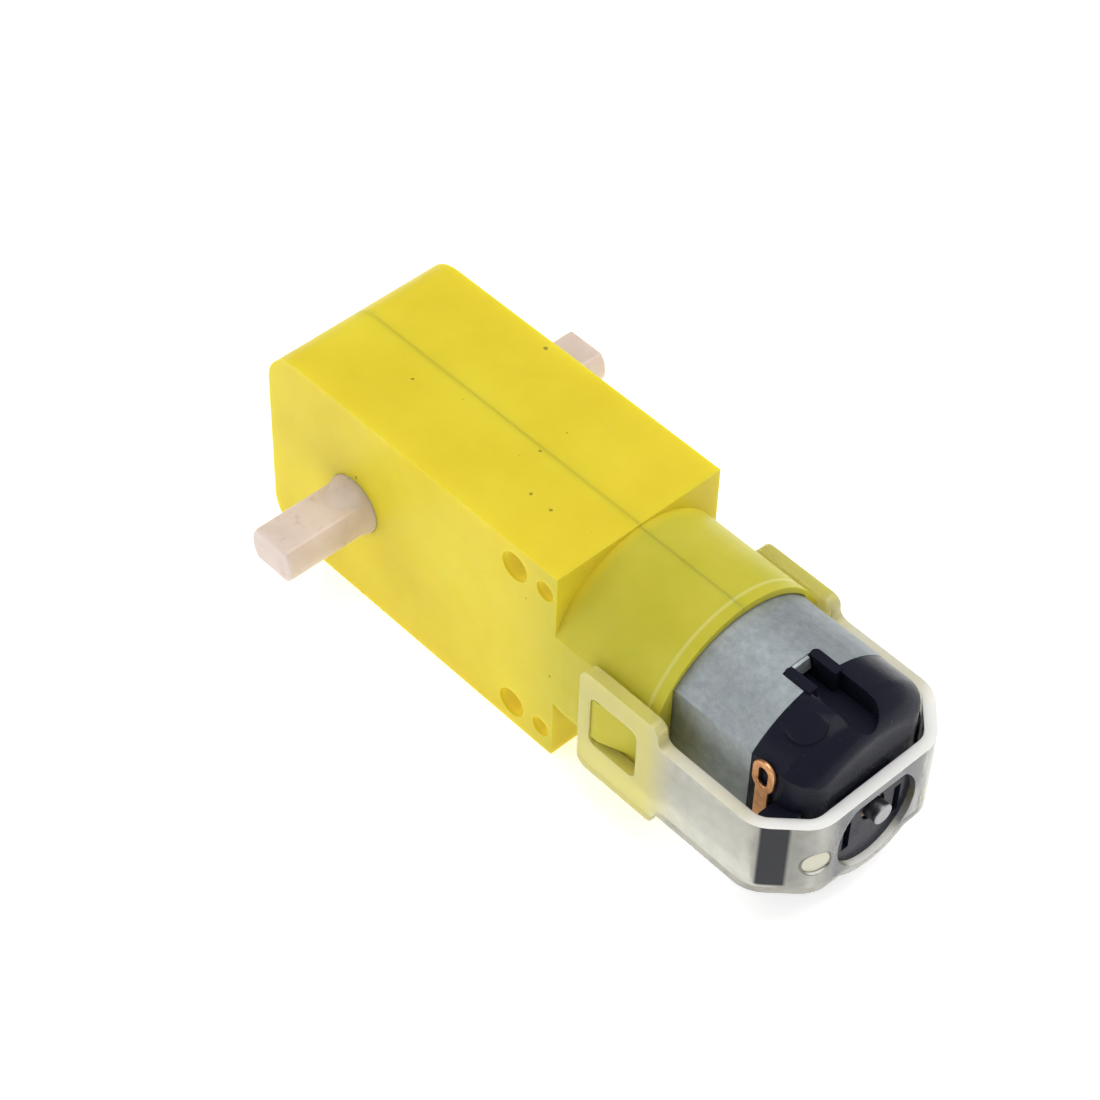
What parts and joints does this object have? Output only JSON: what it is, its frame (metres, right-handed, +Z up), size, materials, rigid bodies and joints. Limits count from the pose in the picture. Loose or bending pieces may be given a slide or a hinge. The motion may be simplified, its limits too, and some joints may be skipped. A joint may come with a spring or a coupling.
{
  "type": "geared dc motor",
  "caption": "Small flat-sided brushed motor held by a clear strap in a straight moulded spur gearbox, with an output shaft that comes out of both sides for a wheel.",
  "frame": {"origin": "on the output shaft's axis, half way between the gearbox's sides", "axes": "+X along the motor, away from the output shaft; +Y along the output shaft, towards the side with the locating peg; +Z up when it lies on its narrow side"},
  "size_m": [0.0709, 0.0376, 0.0226],
  "materials": {
    "yellow_plastic": "moulded, semi-gloss, slightly translucent",
    "shaft_plastic": "natural nylon, milky",
    "gear_plastic": "natural acetal",
    "can_steel": "zinc-plated sheet, dull",
    "cap_plastic": "moulded, glossy black",
    "clear_plastic": "clear, polished",
    "screw_steel": "plated",
    "pin_steel": "ground bright",
    "copper": "bright copper sheet",
    "bronze": "sintered, oily",
    "ferrite": "matte, ground",
    "core_steel": "stamped laminations",
    "magnet_wire": "enamelled",
    "insulation": "pressed fibre",
    "carbon": "pressed carbon"
  },
  "bodies": {
    "housing": {"housing_left": "yellow_plastic", "housing_right": "yellow_plastic", "housing_screws": "screw_steel", "gear_pin": "pin_steel", "motor_can": "can_steel", "end_cap": "cap_plastic", "front_bearing": "bronze", "rear_bearing": "bronze", "magnet_upper": "ferrite", "magnet_lower": "ferrite", "magnet_spring": "pin_steel", "brush_left": "carbon", "brush_right": "carbon", "brush_arm_left": "copper", "brush_arm_right": "copper", "terminal_left": "copper", "terminal_right": "copper", "retaining_strap": "clear_plastic"},
    "rotor": {"motor_shaft": "pin_steel", "armature_core": "core_steel", "windings": "magnet_wire", "commutator": "copper", "commutator_sleeve": "insulation", "shaft_washers": "insulation", "motor_pinion": "gear_plastic"},
    "crown": {"crown_gear": "gear_plastic"},
    "second": {"second_gear": "gear_plastic"},
    "third": {"third_gear": "gear_plastic"},
    "output": {"output_gear": "gear_plastic", "output_shaft": "shaft_plastic"}
  },
  "joints": [
    {"name": "rotor_turn", "type": "hinge", "parent": "housing", "child": "rotor", "pos_m": [0, 0, 0], "axis": [1, 0, 0], "continuous": true},
    {"name": "crown_turn", "type": "hinge", "parent": "housing", "child": "crown", "pos_m": [0.012, 0, 0], "axis": [0, 1, 0], "continuous": true},
    {"name": "second_turn", "type": "hinge", "parent": "housing", "child": "second", "pos_m": [0, 0, 0], "axis": [0, 1, 0], "continuous": true},
    {"name": "third_turn", "type": "hinge", "parent": "housing", "child": "third", "pos_m": [0.012, 0, 0], "axis": [0, 1, 0], "continuous": true},
    {"name": "output_turn", "type": "hinge", "parent": "housing", "child": "output", "pos_m": [0, 0, 0], "axis": [0, 1, 0], "continuous": true}
  ],
  "couplings": [
    {"joint": "crown_turn", "follows": "rotor_turn", "ratio": -0.25},
    {"joint": "second_turn", "follows": "rotor_turn", "ratio": 0.125},
    {"joint": "third_turn", "follows": "rotor_turn", "ratio": -0.0625},
    {"joint": "output_turn", "follows": "rotor_turn", "ratio": 0.020833}
  ]
}
